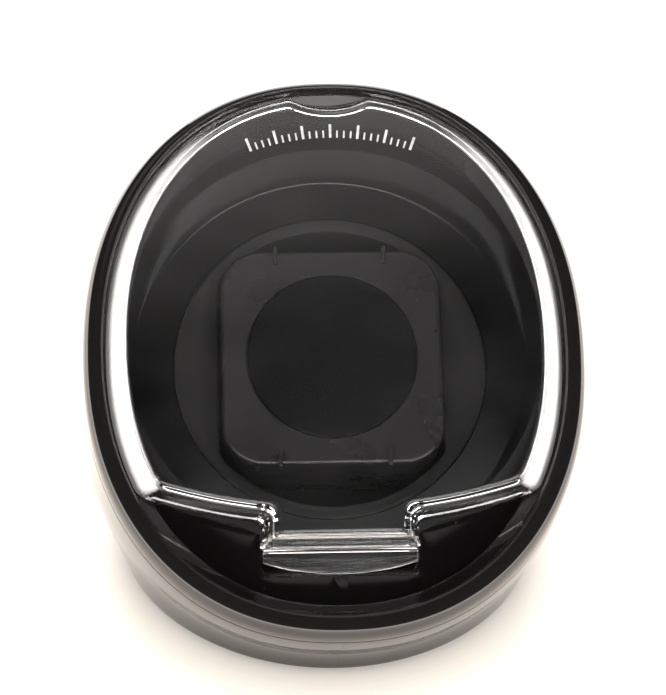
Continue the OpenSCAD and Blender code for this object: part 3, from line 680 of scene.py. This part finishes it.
def make_cup():
    count = 240
    disc_t, edge = 2.2, 0.4
    socket_r, socket_bore, socket_top, ease = 4.6, 2.65, -33.2, 0.3
    low = DISC_N - disc_t

    def ring(r, n):
        return face_ring(r, n, count)

    def plan(grow, n):
        return [place(u, v, n) for u, v in well_outline(grow, count)]

    under = WELL_N - WELL_WALL
    hub_r, hub_h = 8, 1.2
    fillet = 1.2
    loops = [
        ring(hub_r, under - hub_h), ring(hub_r, under), plan(WELL_WALL - 1, under),
        plan(WELL_WALL, under + 1), plan(WELL_WALL, low), ring(DISC_R, low), ring(DISC_R, DISC_N - edge),
        ring(DISC_R - edge * 0.3, DISC_N - edge * 0.3), ring(DISC_R - edge, DISC_N),
        plan(edge, DISC_N), plan(edge * 0.3, DISC_N - edge * 0.3), plan(0, DISC_N - edge),
        plan(0, WELL_N + fillet), plan(-fillet / 3, WELL_N + fillet / 3), plan(-fillet, WELL_N),
    ]
    cup = loft("cup", loops)
    for side in (-1, 1):
        profile = [(socket_bore, WELL_N + 0.2), (socket_bore, socket_top - ease),
                   (socket_bore + ease, socket_top), (socket_r - ease, socket_top),
                   (socket_r, socket_top - ease), (socket_r, WELL_N - ease), (socket_bore, WELL_N - ease)]
        shape = [[place(side * SOCKET_U + r * math.cos(t), r * math.sin(t), n) for t in turns(48)]
                 for r, n in profile]
        combine(cup, loft("socket", shape, wrap=True), "UNION")
    return cup


settle(make_cup(), "cup_body", SATIN, "cup_plastic", "turning_cup", sharp=38)


# ---------------------------------------------------------------- watch carrier
def polar_match(points, r):
    """Points of a circle in the same directions as points."""
    return [(u * r / math.hypot(u, v), v * r / math.hypot(u, v)) for u, v in points]


def carrier_outline(inset):
    """Rounded square, with extra points along its straight sides."""
    corners = rounded_square(CARRIER_W - 2 * inset, CARRIER_H - 2 * inset, CARRIER_CORNER - inset, 16)
    made = []
    for i, p in enumerate(corners):
        q = corners[(i + 1) % len(corners)]
        parts = 12 if math.dist(p, q) > 5 else 1
        made += [lerp(p, q, k / parts) for k in range(parts)]
    return made


def make_carrier():
    top, skin, edge = CARRIER_N, 2.0, 1.0
    seat_r, seat_depth = PAD_R + 0.15, 0.7
    guide_u, guide_v = 13.0, CARRIER_H / 2 - 1.4
    guide_size = (1.0, 4.4, 2.4)

    def plan(inset, n):
        return [place(u, v, n) for u, v in carrier_outline(inset)]

    def disc(r, n):
        return [place(u, v, n) for u, v in polar_match(carrier_outline(0), r)]

    rounding = [plan(edge * (1 - math.cos(a)), top - edge * (1 - math.sin(a)))
                for a in (math.pi / 2 * k / 6 for k in range(7))]
    loops = [
        plan(skin + 0.05, top - skin), plan(skin + 0.05, CARRIER_SPLIT_N), plan(0.15, CARRIER_SPLIT_N),
        plan(0, CARRIER_SPLIT_N + 0.15), *rounding, plan(edge + 0.25, top),
        disc(seat_r + 0.6, top), disc(seat_r + 0.35, top), disc(seat_r + 0.1, top - 0.1),
        disc(seat_r, top - 0.35),
        disc(seat_r, top - seat_depth),
    ]
    carrier = loft("carrier", loops)
    for u in (-guide_u, guide_u):
        for v in (-guide_v, guide_v):
            corner = [middle - length / 2 for middle, length in zip((u, v, top), guide_size)]
            guide = box_piece("guide", corner, guide_size, place)
            soften(guide, 0.3, 30, 2)
            combine(carrier, guide, "UNION")
    return carrier


settle(make_carrier(), "carrier_body", SATIN_CARRIER, "carrier_plastic", "carrier_front", sharp=38)


def make_pad():
    """Crowned disc of foam under a flocked skin, its edge tucked into the seat."""
    low, tuck, shoulder, crown, edge = CARRIER_N - 0.68, 0.1, 0.4, 0.6, 0.55
    rows = [(PAD_R - 0.1, low), (PAD_R, low + 0.2)]
    steps = 7
    for k in range(steps + 1):
        a = math.pi / 2 * k / steps
        rows.append((PAD_R - edge * (1 - math.cos(a)), CARRIER_N - tuck + (shoulder + tuck) * math.sin(a)))
    rows += [(PAD_R * f, CARRIER_N + shoulder + (crown - shoulder) * (1 - f * f))
             for f in (0.9, 0.75, 0.55, 0.3, 0.1)]
    return loft("pad", [face_ring(r, n, 160) for r, n in rows])


pad = settle(make_pad(), "carrier_body", PILE, "pad_velour", "carrier_pad", sharp=60)


# ---------------------------------------------------------------- clear lid
def bisect(test, low, high):
    """The value between low and high where test changes sign."""
    start = test(low) > 0
    for _ in range(50):
        mid = (low + high) / 2
        if (test(mid) > 0) == start:
            low = mid
        else:
            high = mid
    return (low + high) / 2


def lid_outline(side, arc, tab, front, dip):
    """The lid's outline, moved in by one amount along each of its sections."""
    w, h = LID_W - side, LID_H - side
    arc_r = LID_ARC_R - arc
    tab_u, front_v = TAB_W - tab, TAB_FRONT + front
    dip_r = DIP_R + dip
    dip_v = LID_H - (side - dip) - RECESS_DROP - DIP_DEPTH + DIP_R

    def on_oval(t):
        return oval(t, w, h, RECESS_DROP)

    def from_dip(t):
        return math.dist(on_oval(t), (0, dip_v)) - dip_r

    def from_arc(t):
        return math.dist(on_oval(t), (0, LID_ARC_V)) - arc_r

    t_dip = bisect(from_dip, math.radians(55), math.radians(90))
    t_arc = bisect(from_arc, math.radians(-80), math.radians(0))
    dense = 240
    dip_end = math.asin(on_oval(t_dip)[0] / dip_r)
    dip_part = [(dip_r * math.sin(dip_end * i / dense), dip_v - dip_r * math.cos(dip_end * i / dense))
                for i in range(dense + 1)]
    oval_part = [on_oval(t_dip + (t_arc - t_dip) * i / dense) for i in range(dense + 1)]
    first = math.asin(on_oval(t_arc)[0] / arc_r)
    last = math.asin(tab_u / arc_r)
    arc_part = [(arc_r * math.sin(a), LID_ARC_V - arc_r * math.cos(a))
                for a in (first + (last - first) * i / dense for i in range(dense + 1))]
    tab_part = [arc_part[-1], (tab_u, front_v)]
    front_part = [(tab_u, front_v), (0, front_v)]
    # each section with the number of points kept of it, and what is cut off on both sides of
    # the corners between them, which are then rounded
    sections = [(dip_part, 12), (oval_part, 90), (arc_part, 30), (tab_part, 5), (front_part, 8)]
    cuts = [0, 0.9, 2.2, 2.6, 1.0, 0]
    half = []
    for k, (part, count) in enumerate(sections):
        half += along(part, cuts[k], cuts[k + 1], count)
        if k + 1 < len(sections):
            after = along(sections[k + 1][0], cuts[k + 1], cuts[k + 2], 2)[0]
            half += [bend(half[-1], part[-1], after, f) for f in (0.2, 0.4, 0.6, 0.8)]
    return half + [(-u, v) for u, v in reversed(half[1:-1])]


def lid_level(n, wall=0.0, ease=0.0):
    """The lid's loop at height n: its walls lean in, and ease rounds it towards the top."""
    rise = (n - LID_BASE_N) / (LID_TOP_N - LID_BASE_N)
    channel = max(0.0, (n - TAB_BEND_N) / (LID_TOP_N - TAB_BEND_N))
    outline = lid_outline(wall + LID_LEAN * rise + ease, wall + ARC_LEAN * rise + ease,
                          wall + TAB_LEAN * channel + ease, wall + FRONT_LEAN * rise + ease, wall)
    return [(u, v, n) for u, v in outline]


def lid_foot(wall):
    """The lid's lowest loop, which reaches further down round the hinge tab."""
    made, blend = [], 1.5
    for u, v, n in lid_level(LID_BASE_N, wall):
        share = min(1.0, max(0.0, (TAB_START_V - v) / blend))
        made.append((u, v, n + (TAB_BASE_N - n) * share))
    return made


def make_lid():
    ceiling = LID_TOP_N - LID_WALL
    edge, middle = 0.9, 5.0
    inner = [lid_level(ceiling, LID_WALL, 1.1), lid_level(ceiling, LID_WALL, 0.8),
             lid_level(ceiling - 0.25, LID_WALL, 0.22), lid_level(ceiling - 0.8, LID_WALL)]
    inner += [lid_level(n, LID_WALL) for n in (middle, TAB_BEND_N)] + [lid_foot(LID_WALL)]
    outer = [lid_foot(0.0)] + [lid_level(n) for n in (TAB_BEND_N, middle, LID_TOP_N - edge)]
    outer += [lid_level(LID_TOP_N - edge + edge * math.sin(a), 0, edge * 0.8 * (1 - math.cos(a)))
              for a in (math.pi / 2 * k / 5 for k in range(1, 6))]
    outer.append(lid_level(LID_TOP_N, 0, edge * 0.8 + 0.3))
    loops = [[place(*p) for p in loop] for loop in inner + outer]
    lid = loft("lid_cover", loops)

    def along_pin(r, u):
        return [place(u, PIN_V + r * math.cos(t), PIN_N + r * math.sin(t)) for t in turns(48)]

    bore, end, ease = PIN_R + 0.05, TAB_W, 0.25
    knuckle_ends = ((KNUCKLE_R - ease, -end), (KNUCKLE_R, -end + ease), (KNUCKLE_R, end - ease),
                    (KNUCKLE_R - ease, end))
    knuckle = loft("knuckle", [along_pin(r, u) for r, u in knuckle_ends])
    cheek_v, cheek_low = PIN_V - 1.3, -2.9
    cheek_size = (LID_WALL, 4.6, LID_BASE_N + 3.0)
    for side in (-1, 1):
        cheek_u = side * (TAB_W - LID_WALL / 2) - LID_WALL / 2
        cheek = box_piece("cheek", (cheek_u, cheek_v, cheek_low), cheek_size, place)
        soften(cheek, 0.3, 30, 2)
        combine(lid, cheek, "UNION")
    combine(lid, knuckle, "UNION")
    combine(lid, make_flap(), "UNION")
    bore_ends = [along_pin(bore, u) for u in (-end - 1, end + 1)]
    return combine(lid, loft("bore", bore_ends), "DIFFERENCE")


def make_flap():
    """The thin lever below the knuckle, its lower edge a shallow curve."""
    curve_r, low_v = 61.0, -54.7
    steps = 24
    edge = []
    for i in range(steps + 1):
        u = -TAB_W + 2 * TAB_W * i / steps
        edge.append((u, low_v + curve_r - math.sqrt(curve_r ** 2 - u * u)))
    plan = edge + [(TAB_W, PIN_V), (-TAB_W, PIN_V)]
    faces = [[place(u, v, n) for u, v in plan] for n in (-1.6, 0)]
    return soften(loft("flap", faces), 0.35, 50)


settle(make_lid(), "lid_body", CLEAR, "lid_clear", "lid", sharp=30)


# ---------------------------------------------------------------- printed minute marks on the lid
def make_marks():
    """A plain arc of small ticks, printed on top of the lid."""
    centre_v, tick_r, thick = -6.5, 55.0, 0.03
    low = LID_TOP_N + 0.005
    spread = math.radians(20.0)
    ticks, long_every = 25, 4
    verts, faces = [], []

    def add(corners):
        base = len(verts)
        for n in (low, low + thick):
            verts.extend(place(r * math.sin(a), centre_v + r * math.cos(a), n) for r, a in corners)
        faces.append((base, base + 1, base + 2, base + 3))
        faces.append((base + 7, base + 6, base + 5, base + 4))
        for k in range(4):
            m = (k + 1) % 4
            faces.append((base + k, base + 4 + k, base + 4 + m, base + m))

    for i in range(ticks):
        a = -spread + 2 * spread * i / (ticks - 1)
        long = i % long_every == 0
        half = (0.3 if long else 0.2) / tick_r
        reach = 3.4 if long else 1.8
        far = tick_r + reach
        add([(tick_r, a - half), (tick_r, a + half), (far, a + half), (far, a - half)])
    return mesh_piece("minute_marks", verts, faces)


marks = make_marks()
shade(marks)
marks.data.materials.append(INK)
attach(marks, "lid_body")


# ---------------------------------------------------------------- foot ring
def make_foot():
    """The flange under the shells, the collar that locates them and the ledge over the cover."""
    low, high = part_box("foot_ring")
    flange_r, z0, z1 = high.x / MM, low.z / MM, high.z / MM
    collar_r = SHELL_FOOT_R - SHELL_WALL - 0.3
    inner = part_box("bottom_cover")[1].x / MM + 0.2
    cover_top = 4.0
    seat = SHELL_FOOT_Z - 0.03
    corners = [(inner, z0 + 0.4), (flange_r - 0.6, z0), (flange_r, z0 + 0.5), (flange_r, seat),
               (collar_r, seat), (collar_r, z1), (inner - 2, z1), (inner - 2, cover_top),
               (inner, cover_top)]
    profile = rounded(corners, 0.3, 4)
    loops = [[Vector((x * math.cos(t), x * math.sin(t), z)) * MM for t in turns(256)] for x, z in profile]
    return loft("foot_trim", loops, wrap=True)


settle(make_foot(), "case", GLOSS_RIM, "bezel_gloss", "foot_ring", sharp=50)


# ---------------------------------------------------------------- finishes of the CAD nodes that stay
FINISHES = {
    "hinge_pin": STEEL, "spindle": STEEL, "spindle_gear": NATURAL, "spindle_clip": SPRING,
    "spindle_bush": BRONZE, "carrier_back": SATIN_CARRIER, "drive_frame": GREY_PLASTIC,
    "frame_posts": GREY_PLASTIC, "frame_screws": PLATED, "gearhead": PLATED, "motor_can": PLATED,
    "motor_screws": PLATED, "motor_pinion": BRASS, "bottom_cover": MATTE, "cover_screws": PLATED,
    "rubber_feet": RUBBER, "rear_panel": MATTE, "dc_inlet": CHIP, "direction_switch": PLATED,
    "direction_slider": WHITE_PLASTIC, "program_switch": PLATED, "program_slider": WHITE_PLASTIC,
    "controller_board": BOARD, "board_parts": CHIP,
}
for node, finish in FINISHES.items():
    kept = frame["nodes"][node]
    if not kept.material_slots:
        kept.data.materials.append(finish)
    for held in kept.material_slots:
        held.material = finish


# ---------------------------------------------------------------- floor, light and camera
def make_floor():
    half = 4.0
    floor = mesh_piece("floor", [(-half, -half, 0), (half, -half, 0), (half, half, 0), (-half, half, 0)],
                       [(0, 1, 2, 3)])
    # the floor's material paints a glow over it, and a painted shadow round the object where that glow
    # fades out
    floor.data.materials.append(floor_with_painted_glow("pale_floor_painted_glow", (0.86, 0.82, 0.77)))


def soft_box(name, centre, aim, size, power):
    lamp = bpy.data.lights.new(name, "AREA")
    lamp.shape = "RECTANGLE"
    lamp.size, lamp.size_y = size
    lamp.energy = power
    holder = bpy.data.objects.new(name, lamp)
    holder.location = centre
    holder.rotation_mode = "QUATERNION"
    holder.rotation_quaternion = (Vector(aim) - Vector(centre)).to_track_quat("-Z", "Y")
    bpy.context.scene.collection.objects.link(holder)


def make_world():
    """A dim ceiling over a bright horizon, so that the face stays dark and the sides catch light."""
    world = bpy.data.worlds.new("studio")
    world.use_nodes = True
    bpy.context.scene.world = world
    tree = world.node_tree
    ray = tree.nodes.new("ShaderNodeTexCoord")
    split = tree.nodes.new("ShaderNodeSeparateXYZ")
    ramp = tree.nodes.new("ShaderNodeValToRGB")
    # (height of the direction, brightness): bright walls, a dark ceiling, a softly lit zenith
    stops = ((0.0, 1.0), (0.42, 1.0), (0.5, 0.004), (0.95, 0.004), (0.97, 0.11), (1.0, 0.13))
    for k, (height, level) in enumerate(stops):
        # a new ramp already has two stops
        element = ramp.color_ramp.elements[k] if k < 2 else ramp.color_ramp.elements.new(height)
        element.position = height
        element.color = (level, level * 0.985, level * 0.955, 1)
    tree.links.new(ray.outputs["Generated"], split.inputs["Vector"])
    tree.links.new(split.outputs["Z"], ramp.inputs["Fac"])
    back = tree.nodes["Background"]
    tree.links.new(ramp.outputs["Color"], back.inputs["Color"])
    back.inputs["Strength"].default_value = WALL_BRIGHTNESS


def make_camera():
    """Stands below the face's own axis and a little to the left, and rolls slightly."""
    distance, below, left, roll = 0.620, math.radians(17.21), math.radians(3.43), math.radians(-1.78)
    aim = place(-0.3, -0.66, 0)
    back = (-math.sin(left) * ACROSS - math.sin(below) * math.cos(left) * UP_FACE
            + math.cos(below) * math.cos(left) * OUTWARD)
    right = (-back).cross(UP_FACE).normalized()
    up = right.cross(-back)
    tilted_right = math.cos(roll) * right + math.sin(roll) * up
    tilted_up = -math.sin(roll) * right + math.cos(roll) * up
    data = bpy.data.cameras.new("camera")
    data.sensor_width = 36.0
    data.lens = 136.76
    data.clip_start = 0.05
    camera = bpy.data.objects.new("camera", data)
    camera.matrix_world = Matrix((
        (tilted_right.x, tilted_up.x, back.x, aim.x + distance * back.x),
        (tilted_right.y, tilted_up.y, back.y, aim.y + distance * back.y),
        (tilted_right.z, tilted_up.z, back.z, aim.z + distance * back.z),
        (0, 0, 0, 1)))
    bpy.context.scene.collection.objects.link(camera)
    bpy.context.scene.camera = camera


make_floor()
make_world()
make_camera()
soft_box("back_box", centre=(0.0, 1.1, 0.9), aim=(0, 0, 0.05), size=(1.2, 0.6), power=10)
bpy.context.scene.view_settings.view_transform = "Standard"
